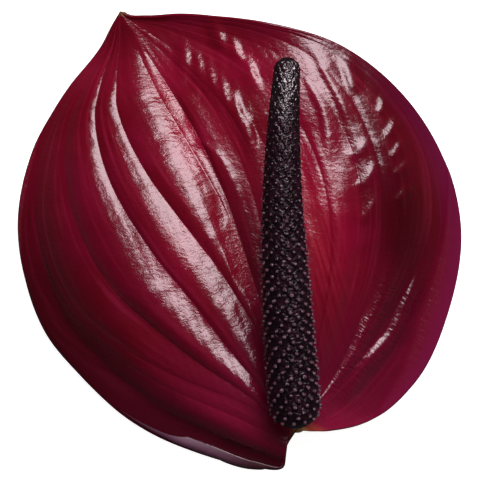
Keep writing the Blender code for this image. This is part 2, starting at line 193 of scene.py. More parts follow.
# Spots on the face: side, share across, share along, reach across and along, and amount, which is
# the change of brightness in doublings for the painted shade and painted light
# Painted shade and painted light: spots with negative amounts darken the face, most at the left margin, and
# spots with positive amounts brighten it
PAINTED_SHADING_SPOTS = [
    (-1, 1.0, 0.12, 0.2, 0.2, -1.7), (-1, 1.0, 0.45, 0.2, 0.2, -1.8), (-1, 0.05, 0.72, 0.1, 0.15, 0.8),
    (-1, 0.55, 0.5, 0.2, 0.2, -0.3), (-1, 0.02, 0.36, 0.1, 0.15, 0.7), (-1, 0.75, 0.17, 0.1, 0.08, 0.5),
    (1, 0.38, 0.47, 0.14, 0.17, 0.6), (1, 0.74, 0.40, 0.14, 0.16, -1.5), (1, 0.97, 0.62, 0.14, 0.15, -0.9),
    (1, 0.4, 0.18, 0.35, 0.14, -0.5), (1, 0.05, 0.85, 0.2, 0.06, 0.3), (1, 0.13, 0.60, 0.10, 0.15, 0.55),
    (1, 0.55, 0.76, 0.15, 0.08, 0.35), (-1, 0.31, 0.46, 0.1, 0.1, 0.35),
]
WARM = [(1, 0.34, 0.37, 0.10, 0.16, 1.0), (-1, 0.04, 0.42, 0.1, 0.12, 0.6)]
WRINKLED = [(-1, 0.1, 0.7, 0.16, 0.12, 1.2), (1, 0.6, 0.6, 0.2, 0.12, 0.6)]
PUCKERED = [(-1, 0.1, 0.7, 0.14, 0.12, 1.0)]

# Purple rim, a painted sheen of light glancing off the right margin: from which share across, and the
# shares along at which it begins, is whole, fades and ends
RIM_SHEEN_FROM = 0.88
RIM_SHEEN_ALONG = (0.05, 0.2, 0.5, 0.75)

# Spadix: its path, its widths and its florets, whose relief has domes, seams between lobes and pits
SPADIX_PATH = [(0.0, 0.6, 27.8), (10.0, 30.5, 37.5), (20.0, 58.0, 45.5), (29.5, 79.6, 48.5),
               (37.7, 95.9, 46.8)]
SPADIX_WIDTHS = [(0, 14.2), (0.25, 13.8), (0.5, 12.4), (0.75, 10.0), (0.9, 8.3), (1, 7.2)]
PATH_SAMPLES = 200
NARROWEST_RADIUS = 0.05
FLORET_RINGS = 63
FLORETS_ROUND = 12
FLORET_RELIEF = 0.42
DOME_POWER = 2.5
SEAM_WIDTH = 0.07
SEAM_DEPTH = 0.18
PIT_WIDTH = 0.1
PIT_DEPTH = 0.25
SPIRAL = 0.22
SPIRAL_RINGS = 24
STEPS_ALONG = 5
STEPS_ROUND = 8
NECK_WIDTH = 4.6
NECK_WAIST = 0.06
NECK_SIDES = 48
NECK_RINGS = 12

# Stigmas: pegs that shrink towards the spike's tip; the profile is (share of the height, share of the
# width), and sizes, leans and sideways leans vary from one to the next
STIGMA_LENGTH = 0.95
STIGMA_WIDTH = 1.2
STIGMA_HEIGHT = 0.9
STIGMA_LEAN = 0.35
STIGMA_SIDES = 10
STIGMA_PROFILE = ((0, 0.75), (0.45, 0.8), (0.75, 1.0), (0.92, 0.8))
STIGMA_SINK = 0.30
STIGMA_SIZES = (0.85, 1.1)
STIGMA_LEANS = (0.5, 1.4)
STIGMA_SIDE_LEANS = (-0.25, 0.25)
STIGMA_SEED = 4
FIRST_STIGMAS = 2
SHRINK_FROM = 0.35
SHRINK_BY = 0.6
OPEN_FLORETS = 0.84

# Stalk, with a bevelled cut end and fine ridges
STALK_PLACE = (0.7, 2.2)
STALK_WIDTH = 5.6
COLLAR_WIDTH = 6.8
COLLAR_HEIGHT = 2.4
CUT_BEVEL = 0.3
CUT_HEIGHT = 0.8
RIDGES = 9
RIDGE_HEIGHT = 0.06
RIDGE_TWIST = 0.2
CLEARANCE = 0.3
STALK_SIDES = 72
STALK_RINGS = 40

# Colours, as linear red, green and blue
WINE = (0.082, 0.0005, 0.0050)
WINE_CLOUD = (0.106, 0.0008, 0.0115)
WINE_STREAK = (0.122, 0.0024, 0.0110)
BASE_CRIMSON = (0.100, 0.0018, 0.0150)
PINK_STREAK = (0.130, 0.0030, 0.0170)
# Painted sheen: purple where light glances off the right margin
RIM_SHEEN_PURPLE = (0.100, 0.0014, 0.024)
WARM_RED = (0.100, 0.0010, 0.0070)
WARM_FIBRE = (0.135, 0.0040, 0.0120)
TIP_BROWN = (0.10, 0.035, 0.016)
SINUS_RED = (0.17, 0.020, 0.012)
SINUS_TAN = (0.26, 0.11, 0.035)
BACK_MAUVE = (0.060, 0.016, 0.034)
BACK_PALE = (0.080, 0.026, 0.050)
# Painted shade: the back darkened beside the stalk, where the lobe's end turns away into shade
BACK_PAINTED_SHADE = (0.030, 0.002, 0.006)
FLORET_BLACK = (0.0045, 0.0013, 0.0026)
FLORET_PURPLE = (0.0130, 0.0030, 0.0062)
STIGMA_MAUVE = (0.024, 0.008, 0.015)
STIGMA_PINK = (0.095, 0.038, 0.060)
NECK_RED = (0.10, 0.018, 0.012)
NECK_BROWN = (0.20, 0.05, 0.025)
STALK_OLIVE = (0.16, 0.10, 0.028)
STALK_TAN = (0.27, 0.17, 0.06)
FLOOR_GREY = (0.58, 0.58, 0.58)
FLOOR_PALE = (0.62, 0.62, 0.62)
SHEEN_TINT = (1.0, 0.86, 0.92, 1.0)

# Shares of the way from the base to the tip at which a colour of the sheet begins and is whole
CRIMSON_ALONG = (0.42, 0.14)
TIP_ALONG = (0.988, 0.997)
SINUS_ALONG = (0.045, 0.025)
SINUS_RIM_ALONG = (0.020, 0.012)
# Painted shade on the back: where it begins and where it is whole
BACK_SHADE_ALONG = (0.17, 0.09)

# Values of a noise between which one colour turns into the next
SOFT = (0.35, 0.7)
STREAKED = (0.45, 0.75)
PINK_STREAKED = (0.52, 0.72)
FIBROUS = (0.42, 0.62)
FLORET_CLOUDED = (0.4, 0.7)
STIGMA_CLOUDED = (0.35, 0.68)

# Factors on the places across and along at which a noise is read: less makes it longer that way
STREAK_STRETCH = (3.2, 2.2)
FIBRE_STRETCH = (0.9, 0.05)
CRINKLE_STRETCH = (0.4, 0.9)
CRUMPLE_STRETCH = 0.85
WRINKLE_SLANT = 0.3
STALK_STRETCH = 0.08

# Depths of the bumps in the finishes
CRUMPLE_DEPTH = 0.075
CRINKLE_DEPTH = 0.09
BACK_GRAIN_DEPTH = 0.03
FLORET_PIT_DEPTH = 0.5
FLORET_GRAIN_DEPTH = 0.08
STIGMA_GRAIN_DEPTH = 0.45
NECK_GRAIN_DEPTH = 0.05
STALK_LINE_DEPTH = 0.05

# Gloss of the spike: how far before the tip it begins to rise and is whole, and its two levels
GLOSS_FROM_TIP = (18, 8)
GLOSS_LEVELS = (0.3, 1.0)

# Picture: a camera straight above, turned so that the midrib leans to the left
PHOTO_PIXELS = 480
PIXEL_SIZE = 0.28
BASE_PIXEL = (297, 428)
LEAN = math.radians(23)
CAMERA_HEIGHT = 2.4
FOCUS_HEIGHT = 0.006
SENSOR_WIDTH = 36
CLIP_START = 0.05

# Light, in metres and degrees: one large window of light above the photo's top edge, to its right,
# brightest in its middle, a weak fill overhead and a pale floor that glows
KEY_DIRECTION = (0.36, 0.81, 1.0)
KEY_DISTANCE = 3.0
KEY_HALF_ANGLES = (19, 23)
KEY_RADIANCE = 4.2
CORE_DISTANCE = 2.9
CORE_HALF_ANGLES = (14, 17)
CORE_RADIANCE = 12.6
FILL_HEIGHT = 1.4
FILL_SIZE = 2.4
FILL_RADIANCE = 0.5
FLOOR_SIZE = 6
FLOOR_DROP = 0.0002
FLOOR_GLOW = 0.9
WORLD_LIGHT = 0.045

stalk_low, stalk_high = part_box("stem")
BASE = ((stalk_low + stalk_high) / 2).xy - Vector(STALK_PLACE) * MM


def hermite(knots, values, share):
    """Smooth curve through values at knots, read at share."""
    step = np.diff(knots)
    slope = np.diff(values, axis=0) / step[:, None]
    tangent = np.zeros_like(values)
    before, after = step[:-1, None], step[1:, None]
    tangent[1:-1] = (slope[:-1] * after + slope[1:] * before) / (before + after)
    tangent[0] = slope[0]
    tangent[-1] = slope[-1]
    i = np.clip(np.searchsorted(knots, share, side="right") - 1, 0, len(step) - 1)
    w = ((share - knots[i]) / step[i])[..., None]
    run = step[i][..., None]
    return ((2 * w**3 - 3 * w**2 + 1) * values[i] + (w**3 - 2 * w**2 + w) * run * tangent[i]
            + (3 * w**2 - 2 * w**3) * values[i + 1] + (w**3 - w**2) * run * tangent[i + 1])


def along(points, share):
    """Point at a share of the way along a smooth line through points."""
    points = np.array(points, float)
    knots = np.append(0, np.cumsum(np.linalg.norm(np.diff(points, axis=0), axis=1)))
    return hermite(knots / knots[-1], points, np.asarray(share, float))


def at_share(pairs, share):
    """Value at a share of the way, from (share, value) pairs."""
    pairs = np.array(pairs, float)
    return hermite(pairs[:, 0], pairs[:, 1:], np.asarray(share, float))[..., 0]


def unit(vectors):
    """Vectors of length 1 along the last axis."""
    return vectors / np.maximum(np.linalg.norm(vectors, axis=-1, keepdims=True), SMALLEST)


def smooth_step(value, low, high):
    """0 below low, 1 above high, smooth between them."""
    w = np.clip((value - low) / (high - low), 0, 1)
    return w * w * (3 - 2 * w)


def window(value, begins, whole, fades, ends):
    """0 outside begins and ends, 1 between whole and fades, smooth elsewhere."""
    return smooth_step(value, begins, whole) * (1 - smooth_step(value, fades, ends))


def noise_field(x, y, seed):
    """Smooth noise from -1 to 1 over two arrays of coordinates."""
    flat = [noise.noise((a, b, seed)) for a, b in zip(x.ravel(), y.ravel())]
    return np.array(flat).reshape(x.shape)


def vein_lines(veins, share):
    """How far across its half each vein lies at each share: an array of veins by shares."""
    stations = np.array(VEIN_STATIONS)
    held = np.clip(share, stations[0], stations[-1])
    return hermite(stations, np.array(veins, float).T, held).T


def settled(height):
    """Heights of the upper face, level where the sheet would otherwise sink below the surface."""
    above = height - SHEET
    rounded = (np.clip(above, -SETTLING, SETTLING) + SETTLING)**2 / (4 * SETTLING)
    return SHEET + np.maximum(rounded, above)


def folded(plan):
    """Height of the folds over points of the plan, and how wrinkled the face is there."""
    height, creased = np.zeros(plan.shape[:2]), np.zeros(plan.shape[:2])
    for rise, steep, gentle, fade_in, fade_out, wrinkled, points in FOLDS:
        line = along(points, np.linspace(0, 1, LINE_SAMPLES))
        ahead = unit(np.gradient(line, axis=0))
        run = np.append(0, np.cumsum(np.linalg.norm(np.diff(line, axis=0), axis=1)))
        room = steep + gentle
        near = np.all((plan > line.min(axis=0) - room) & (plan < line.max(axis=0) + room), axis=2)
        if not near.any():
            continue
        offset = plan[near][:, None] - line
        nearest = np.argmin((offset**2).sum(axis=2), axis=1)
        offset = offset[np.arange(len(nearest)), nearest]
        way = ahead[nearest]
        position = (run[nearest] + (offset * way).sum(axis=1)) / run[-1]
        leftward = way[:, 0] * offset[:, 1] - way[:, 1] * offset[:, 0]
        profile = 1 - smooth_step(leftward, -steep / 2, steep / 2)
        profile = profile * smooth_step(leftward, -steep / 2 - gentle, -steep / 2)
        strength = profile * window(position, -fade_in / 2, fade_in / 2, 1 - fade_out, 1)
        height[near] = height[near] + rise * strength
        creased[near] = creased[near] + wrinkled * strength
    return height, creased


def spots(amounts, across, share):
    """Sum of soft spots over shares across (left below 0) and along."""
    total = np.zeros(across.shape)
    for side, middle, place_along, reach, reach_along, amount in amounts:
        spot = np.exp(-((across * side - middle) / reach)**2 - ((share - place_along) / reach_along)**2)
        total = total + amount * spot * (across * side > 0)
    return total


def painted_rim_sheen(across, share):
    """How much purple painted sheen, of light glancing off the rim, lies towards the right margin."""
    return smooth_step(across, RIM_SHEEN_FROM, 1) * window(share, *RIM_SHEEN_ALONG)


def crowned(half, across, share):
    """Height of one half without its pleats, from the midrib over the crown to the margin."""
    valley, edge = at_share(MIDRIB_HEIGHT, share), at_share(half.edge_height, share)
    crown, crest = at_share(half.crown, share), at_share(half.crest, share)
    from_crest = np.where(across < crest, across / crest - 1, (across - crest) / (1 - crest))
    return valley + (edge - valley) * across + crown * (1 - from_crest**2)


def pleated(half, pleat, within, width, share):
    """Height of the pleats: pleat is the number of each column's own, within the share across it."""
    steepest = STEEPEST_PLEAT * width / 4
    depth = np.minimum(at_share(half.pleat, share), steepest) * np.array(half.depths)[pleat][:, None]
    from_middle = 2 * within - 1
    return depth * ((1 - from_middle**2) * (1 + at_share(half.lean, share) * from_middle))


def small_relief(half, share, across, half_width):
    """Height of the ribs and puckers on one half, columns by shares."""
    wide = across * half_width
    long = np.broadcast_to(share * MIDRIB_LENGTH, wide.shape)
    wander = noise_field(wide / WANDER_GRAIN[0], long / WANDER_GRAIN[1], half.seed)
    ribs = np.sin(2 * math.pi * wide / RIB_STEP + RIB_WANDER * wander)
    varied = noise_field(wide / RIB_GRAIN[0], long / RIB_GRAIN[1], half.seed + 1)
    ribs = ribs * (RIB_HEIGHT * (RIB_MEAN + RIB_VARIES * varied))
    puckers = noise_field(wide / PUCKER_WIDTH + long / PUCKER_SLANT, long / PUCKER_STEP, half.seed + 2)
    varied = noise_field(wide / PUCKER_GRAIN[0], long / PUCKER_GRAIN[1], half.seed + 3)
    more = spots(PUCKERED, half.side * across, np.broadcast_to(share, wide.shape))
    puckers = puckers * (PUCKER_HEIGHT * (1 + varied) + PUCKER_HEIGHT * more)
    return (ribs + puckers) * window(across, *RELIEF_ACROSS) * window(share, *RELIEF_ALONG)


def half_surface(half, column, share):
    """The sheet's upper face on one half: points, the share across and creases, columns by shares.

    column is 0 at the midrib and a whole number at each vein, up to the margin. share is 0 at the base
    and 1 at the tip.
    """
    lines = vein_lines(half.veins, share)
    pleat = np.minimum(np.floor(column).astype(int), len(lines) - 2)
    within = (column - pleat)[:, None]
    inner, outer = lines[pleat], lines[pleat + 1]
    across = np.clip(inner + (outer - inner) * within, 0, 1)

    midrib = along(MIDRIB, share)
    reach = along(half.edge, share) - midrib
    half_width = np.linalg.norm(reach, axis=1)
    plan = midrib + across[..., None] * reach

    pleat_width = np.maximum((outer - inner) * half_width, 0)
    height = crowned(half, across, share) + pleated(half, pleat, within, pleat_width, share)
    folds, creased = folded(plan)
    height = height + small_relief(half, share, across, half_width) + folds

    if half.cupped:
        outward = reach / np.maximum(half_width, NARROWEST_HALF)[:, None]
        rim = np.clip((across - RIM_STARTS) / (1 - RIM_STARTS), 0, 1)
        bulge = at_share(RIM_BULGE, share) * np.sin(math.pi * rim)
        plan = plan + outward * bulge[..., None]
        height = height + at_share(RIM_RISE, share) * rim**2
    from_base = np.linalg.norm(plan - STALK_PLACE, axis=2)
    base_height = MIDRIB_HEIGHT[0][1]
    height = base_height + (height - base_height) * smooth_step(from_base, PAD_REACH, PAD_REACH + PAD_BLEND)
    return np.concatenate([plan, settled(height)[..., None]], axis=2), across, creased


def pleat_columns(half):
    """Column numbers from the midrib to the margin, crowded at the grooves."""
    lines = vein_lines(half.veins, WIDTH_STATIONS)
    half_width = np.linalg.norm(along(half.edge, WIDTH_STATIONS) - along(MIDRIB, WIDTH_STATIONS), axis=1)
    pleats = len(half.veins) - 1
    columns = []
    for k in range(pleats):
        widest = float(((lines[k + 1] - lines[k]) * half_width).max())
        strip = RIM_STRIP_WIDTH if half.cupped and k == pleats - 1 else STRIP_WIDTH
        strips = max(FEWEST_STRIPS, round(widest / strip))
        u = np.arange(strips) / strips
        columns += list(k + u - GROOVE_CROWDING * np.sin(2 * math.pi * u) / (2 * math.pi))
    return np.array(columns + [float(pleats)])


def eased(grid, turns):
    """Grid of unit vectors averaged with its neighbours."""
    for _ in range(turns):
        padded = np.pad(grid, ((1, 1), (1, 1), (0, 0)), mode="edge")
        grid = (grid * 2 + padded[:-2, 1:-1] + padded[2:, 1:-1] + padded[1:-1, :-2] + padded[1:-1, 2:]) / 6
        grid = unit(grid)
    return grid


def make_mesh(name, points, faces, materials, slots=None):
    """Smooth mesh object from millimetres over the base, with the material slot of each face."""
    placed = np.asarray(points, float) * MM + (BASE.x, BASE.y, 0)
    mesh = bpy.data.meshes.new(name)
    mesh.from_pydata(placed.tolist(), [], faces)
    mesh.validate()
    mesh.shade_smooth()
    for material in materials:
        mesh.materials.append(material)
    if slots is not None:
        mesh.polygons.foreach_set("material_index", np.array(slots, np.int32))
    made = bpy.data.objects.new(name, mesh)
    bpy.context.scene.collection.objects.link(made)
    return made


def add_uv(made, name, values):
    """UV map from one pair of values for each point of the mesh."""
    corners = np.zeros(len(made.data.loops), np.int32)
    made.data.loops.foreach_get("vertex_index", corners)
    layer = made.data.uv_layers.new(name=name)
    layer.data.foreach_set("uv", np.asarray(values, np.float32)[corners].ravel())


def ring_quads(start, rings, sides):
    """Quads between rings of points that follow one another from start."""
    quads = []
    for r in range(rings - 1):
        for s in range(sides):
            a, b = start + r * sides + s, start + r * sides + (s + 1) % sides
            quads.append((a, b, b + sides, a + sides))
    return quads


def tube(start, rings, sides):
    """Faces of a closed tube: quads between its rings of points, then a cap at each end."""
    first = tuple(range(start, start + sides))
    last = tuple(k + (rings - 1) * sides for k in first)
    return [*ring_quads(start, rings, sides), first[::-1], last]


def upright_rings(low, high, rings, sides, width_at):
    """Rings of points over the stalk's place, as wide as width_at says for a height and an angle."""
    x, y = STALK_PLACE
    points = []
    for r in range(rings + 1):
        height = low + (high - low) * r / rings
        for s in range(sides):
            angle = math.tau * s / sides
            radius = width_at(height, angle) / 2
            points.append((x + radius * math.cos(angle), y + radius * math.sin(angle), height))
    return np.array(points)


class Shader:
    """A material's node tree, with one short call for each kind of node used here."""

    def __init__(self, name):
        self.material = bpy.data.materials.new(name)
        self.material.use_nodes = True
        self.tree = self.material.node_tree
        self.surface = self.tree.nodes["Principled BSDF"]

    def node(self, kind, **settings):
        made = self.tree.nodes.new(kind)
        for name, value in settings.items():
            setattr(made, name, value)
        return made

    def feed(self, socket, value):
        """Link a socket from another one, or set its number."""
        if isinstance(value, bpy.types.NodeSocket):
            self.tree.links.new(value, socket)
        else:
            socket.default_value = value

    def where(self):
        """Place in the object, in metres."""
        return self.node("ShaderNodeTexCoord").outputs["Object"]

    def uv(self, name):
        return self.node("ShaderNodeUVMap", uv_map=name).outputs["UV"]

    def split(self, vector):
        made = self.node("ShaderNodeSeparateXYZ")
        self.feed(made.inputs[0], vector)
        return made.outputs

    def join(self, x, y, z=0.0):
        made = self.node("ShaderNodeCombineXYZ")
        for socket, value in zip(made.inputs, (x, y, z)):
            self.feed(socket, value)
        return made.outputs[0]

    def maths(self, operation, a, b):
        """One operation, such as ADD or MULTIPLY, on two numbers."""
        made = self.node("ShaderNodeMath", operation=operation)
        self.feed(made.inputs[0], a)
        self.feed(made.inputs[1], b)
        return made.outputs[0]

    def times(self, a, b):
        return self.maths("MULTIPLY", a, b)

    def stretched(self, x, y, factors):
        """Vector of x and y, each times its own factor."""
        return self.join(self.times(x, factors[0]), self.times(y, factors[1]))

    def noise(self, vector, scale, detail=2.0, roughness=0.5, bend=0.0):
        made = self.node("ShaderNodeTexNoise")
        self.feed(made.inputs["Vector"], vector)
        made.inputs["Scale"].default_value = scale
        made.inputs["Detail"].default_value = detail
        made.inputs["Roughness"].default_value = roughness
        made.inputs["Distortion"].default_value = bend
        return made.outputs["Fac"]

    def spread(self, value, low, high, to_low=0.0, to_high=1.0):
        """Value from between low and high to between to_low and to_high, smoothly."""
        made = self.node("ShaderNodeMapRange", interpolation_type="SMOOTHSTEP")
        for socket, number in zip(made.inputs, (value, low, high, to_low, to_high)):
            self.feed(socket, number)
        return made.outputs[0]

    def scaled(self, colour, factor):
        """Colour times a number."""
        made = self.node("ShaderNodeVectorMath", operation="SCALE")
        self.feed(made.inputs[0], colour)
        self.feed(made.inputs["Scale"], factor)
        return made.outputs[0]

    def blend(self, factor, a, b):
        """Colour between a and b. Sockets 6 and 7 hold the node's two colours, output 2 its result."""
        made = self.node("ShaderNodeMix", data_type="RGBA")
        self.feed(made.inputs["Factor"], factor)
        for socket, colour in ((made.inputs[6], a), (made.inputs[7], b)):
            self.feed(socket, (*colour, 1) if isinstance(colour, tuple) else colour)
        return made.outputs[2]

    def bump(self, height, depth, over=None):
        """Normal from a height of 0 to 1, depth in millimetres."""
        made = self.node("ShaderNodeBump")
        made.inputs["Distance"].default_value = depth * MM
        self.feed(made.inputs["Height"], height)
        if over is not None:
            self.feed(made.inputs["Normal"], over)
        return made.outputs["Normal"]

    def finish(self, **values):
        """Set or link the surface's own sockets, such as Base_Color or Roughness."""
        for name, value in values.items():
            socket = self.surface.inputs[name.replace("_", " ")]
            self.feed(socket, (*value, 1) if isinstance(value, tuple) and len(value) == 3 else value)
        return self.material


def face_colour(shader, wide, long, column, share, painted_shading_stops, purple, warm):
    """Wine red with clouds, streaks along the veins and warmer patches; painted shade and light in darker and
    brighter patches; its ends; a purple painted sheen at the right rim.
    """
    cloud = shader.noise(shader.join(wide, long), scale=0.045, detail=3.0)
    streak = shader.noise(shader.stretched(column, share, STREAK_STRETCH), scale=1.6, detail=4.0,
                          roughness=0.6)
    colour = shader.blend(shader.spread(cloud, *SOFT), WINE, WINE_CLOUD)
    colour = shader.blend(shader.spread(streak, *STREAKED), colour, WINE_STREAK)
    colour = shader.blend(shader.spread(share, *CRIMSON_ALONG), colour, BASE_CRIMSON)
    colour = shader.blend(shader.spread(streak, *PINK_STREAKED), colour, PINK_STREAK)
    # Painted sheen: purple towards the right margin
    colour = shader.blend(purple, colour, RIM_SHEEN_PURPLE)
    fibres = shader.noise(shader.stretched(wide, long, FIBRE_STRETCH), scale=1.0, detail=3.0)
    colour = shader.blend(warm, colour, shader.blend(shader.spread(fibres, *FIBROUS), WARM_RED, WARM_FIBRE))
    colour = shader.blend(shader.spread(share, *TIP_ALONG), colour, TIP_BROWN)
    colour = shader.blend(shader.spread(share, *SINUS_ALONG), colour, SINUS_RED)
    colour = shader.blend(shader.spread(share, *SINUS_RIM_ALONG), colour, SINUS_TAN)
    # Painted shade and painted light: the colour is darkened or brightened by the spots' doublings
    return shader.scaled(colour, shader.maths("POWER", 2.0, painted_shading_stops))


def face_material():
    """Lacquered wine-red face, finely wrinkled across the veins and smooth where the purple painted sheen
    lies.
    """
    shader = Shader("spathe_face")
    wide, long, _ = shader.split(shader.uv("place"))
    column, share, _ = shader.split(shader.uv("vein"))
    # Third map: doublings of painted shade and light, and how much purple painted sheen lies towards the
    # right rim
    painted_shading_stops, purple, _ = shader.split(shader.uv("tint"))
    creased, warm, _ = shader.split(shader.uv("crease"))
    colour = face_colour(shader, wide, long, column, share, painted_shading_stops, purple, warm)

    slanted = shader.maths("ADD", long, shader.times(wide, WRINKLE_SLANT))
    crinkle = shader.noise(shader.stretched(wide, slanted, CRINKLE_STRETCH), scale=1.0, bend=0.6)
    crumple = shader.noise(shader.join(shader.times(wide, CRUMPLE_STRETCH), slanted), scale=1.3,
                           roughness=0.45, bend=0.9)
    calm = shader.maths("SUBTRACT", 1.0, purple)
    normal = shader.bump(shader.times(crumple, calm), CRUMPLE_DEPTH)
    normal = shader.bump(shader.times(crinkle, shader.maths("ADD", creased, calm)), CRINKLE_DEPTH, normal)
    return shader.finish(Base_Color=colour, Roughness=0.20, IOR=1.43, Specular_Tint=SHEEN_TINT, Normal=normal)


def back_material():
    """Matt mauve back, with painted shade in dark red beside the stalk."""
    shader = Shader("spathe_back")
    wide, long, _ = shader.split(shader.uv("place"))
    share = shader.split(shader.uv("vein"))[1]
    cloud = shader.noise(shader.join(wide, long), scale=0.12, detail=3.0)
    colour = shader.blend(shader.spread(cloud, *SOFT), BACK_MAUVE, BACK_PALE)
    # Painted shade: darker towards the base, beside the stalk
    colour = shader.blend(shader.spread(share, *BACK_SHADE_ALONG), colour, BACK_PAINTED_SHADE)
    grain = shader.noise(shader.join(wide, long), scale=1.8, detail=3.0)
    return shader.finish(Base_Color=colour, Roughness=0.5, Normal=shader.bump(grain, BACK_GRAIN_DEPTH))


def spadix_material():
    """Near-black purple florets, finely pitted, with a waxy shine that is strongest at the tip."""
    shader = Shader("spadix_florets")
    where = shader.where()
    cloud = shader.noise(where, scale=420.0, detail=3.0)
    colour = shader.blend(shader.spread(cloud, *FLORET_CLOUDED), FLORET_BLACK, FLORET_PURPLE)
    pits = shader.noise(where, scale=1500.0, detail=1.0, bend=0.4)
    grain = shader.noise(where, scale=3600.0, detail=1.0)
    normal = shader.bump(grain, FLORET_GRAIN_DEPTH, shader.bump(pits, FLORET_PIT_DEPTH))
    tip = BASE.y + SPADIX_PATH[-1][1] * MM
    begins, whole = (tip - before * MM for before in GLOSS_FROM_TIP)
    gloss = shader.spread(shader.split(where)[1], begins, whole, *GLOSS_LEVELS)
    return shader.finish(Base_Color=colour, Roughness=0.15, IOR=1.48, Specular_IOR_Level=gloss,
                         Specular_Tint=SHEEN_TINT, Normal=normal)


def stigma_material():
    """Mauve to pale pink stigmas with a moist shine."""
    shader = Shader("stigmas")
    where = shader.where()
    cloud = shader.noise(where, scale=700.0)
    colour = shader.blend(shader.spread(cloud, *STIGMA_CLOUDED), STIGMA_MAUVE, STIGMA_PINK)
    grain = shader.noise(where, scale=3400.0, detail=1.0)
    return shader.finish(Base_Color=colour, Roughness=0.12, IOR=1.55,
                         Normal=shader.bump(grain, STIGMA_GRAIN_DEPTH))


def neck_material():
    """Reddish-brown neck under the spike."""
    shader = Shader("spadix_neck")
    cloud = shader.noise(shader.where(), scale=500.0, detail=3.0)
    colour = shader.blend(shader.spread(cloud, *SOFT), NECK_RED, NECK_BROWN)
    return shader.finish(Base_Color=colour, Roughness=0.4, Normal=shader.bump(cloud, NECK_GRAIN_DEPTH))


def stalk_material():
    """Olive-brown stalk with fine lengthways lines."""
    shader = Shader("stalk_skin")
    x, y, z = shader.split(shader.where())
    lines = shader.noise(shader.join(x, y, shader.times(z, STALK_STRETCH)), scale=900.0, detail=3.0)
    colour = shader.blend(shader.spread(lines, *SOFT), STALK_OLIVE, STALK_TAN)
    return shader.finish(Base_Color=colour, Roughness=0.42, Normal=shader.bump(lines, STALK_LINE_DEPTH))


def floor_material():
    """Pale matt floor that glows, as a lit studio sweep does."""
    shader = Shader("floor_white")
    grain = shader.noise(shader.where(), scale=40.0)
    colour = shader.blend(grain, FLOOR_GREY, FLOOR_PALE)
    return shader.finish(Base_Color=colour, Roughness=0.9, Specular_IOR_Level=0.1,
                         Emission_Color=(1.0, 1.0, 1.0), Emission_Strength=FLOOR_GLOW)


def layer_faces(start, count, width, base_at, tip_at):
    """Faces of a layer of the sheet that look up: quads over its grid, then a fan at the base and the tip."""
    i, j = np.meshgrid(np.arange(count - 1), np.arange(width - 1), indexing="ij")
    a = (start + i * width + j).ravel()
    quads = np.stack([a, a + 1, a + 1 + width, a + width], axis=1)
    first = start + np.arange(width - 1)
    last = first + (count - 1) * width
    return (quads.tolist() + [(base_at, k + 1, k) for k in first.tolist()]
            + [(tip_at, k, k + 1) for k in last.tolist()])


def layer_edge(start, count, width, base_at, tip_at):
    """Points round a layer's edge: the base, the right margin, the tip and the left margin."""
    left = [start + k * width for k in range(count)]
    return [base_at, *(k + width - 1 for k in left), tip_at, *left[::-1]]


def round_margin(body, edge_upper, edge_under):
    """Points and faces of the rounded margin, in bands from the upper layer's edge to the under one's."""
    upper_line, under_line = body[edge_upper], body[edge_under]
    down = under_line - upper_line
    forward = np.roll(upper_line, -1, axis=0) - np.roll(upper_line, 1, axis=0)
    outward = unit(np.cross(forward, -down))
    size = len(edge_upper)
    bands, points, faces = [edge_upper], [], []
    for k in range(1, EDGE_STRIPS):
        turn = math.pi * k / EDGE_STRIPS
        bulge = outward * SHEET / 2 * math.sin(turn) * EDGE_BULGE
        points.append(upper_line + down * (1 - math.cos(turn)) / 2 + bulge)
        start = len(body) + (k - 1) * size
        bands.append(range(start, start + size))
    bands.append(edge_under)
    for high, low in zip(bands, bands[1:]):
        for k in range(size):
            n = (k + 1) % size
            faces.append((high[k], low[k], low[n], high[n]))
    return points, faces


def add_sheet_maps(made, across, creased, column, share, kept):
    """UV maps of the sheet: place in millimetres, vein and share, painted shade and light and the purple
    painted rim sheen, creases and warmth.
    """
    midrib = along(MIDRIB, share)
    left_width, right_width = (np.linalg.norm(along(edge, share) - midrib, axis=1)[:, None]
                               for edge in (LEFT_EDGE, RIGHT_EDGE))
    half_width = np.where(across < 0, left_width, right_width)
    share = np.broadcast_to(share[:, None], across.shape)
    maps = {"place": (across * half_width, share * MIDRIB_LENGTH),
            "vein": (np.broadcast_to(column, across.shape), share),
            "tint": (spots(PAINTED_SHADING_SPOTS, across, share), painted_rim_sheen(across, share)),
            "crease": (creased + spots(WRINKLED, across, share), spots(WARM, across, share))}
    tip_values = {"place": (0, MIDRIB_LENGTH), "vein": (0, 1), "tint": (0, 0), "crease": (0, 0)}
    for name, pair in maps.items():
        grid = np.stack(pair, axis=2)
        base, tip = np.zeros((1, 2)), np.array([tip_values[name]], float)
        edge = np.concatenate([base, grid[:, -1], tip, grid[::-1, 0]])
        layers = [grid.reshape(-1, 2), grid[:, kept].reshape(-1, 2), base, tip, base, tip]
        add_uv(made, name, np.concatenate(layers + [edge] * (EDGE_STRIPS - 1)))


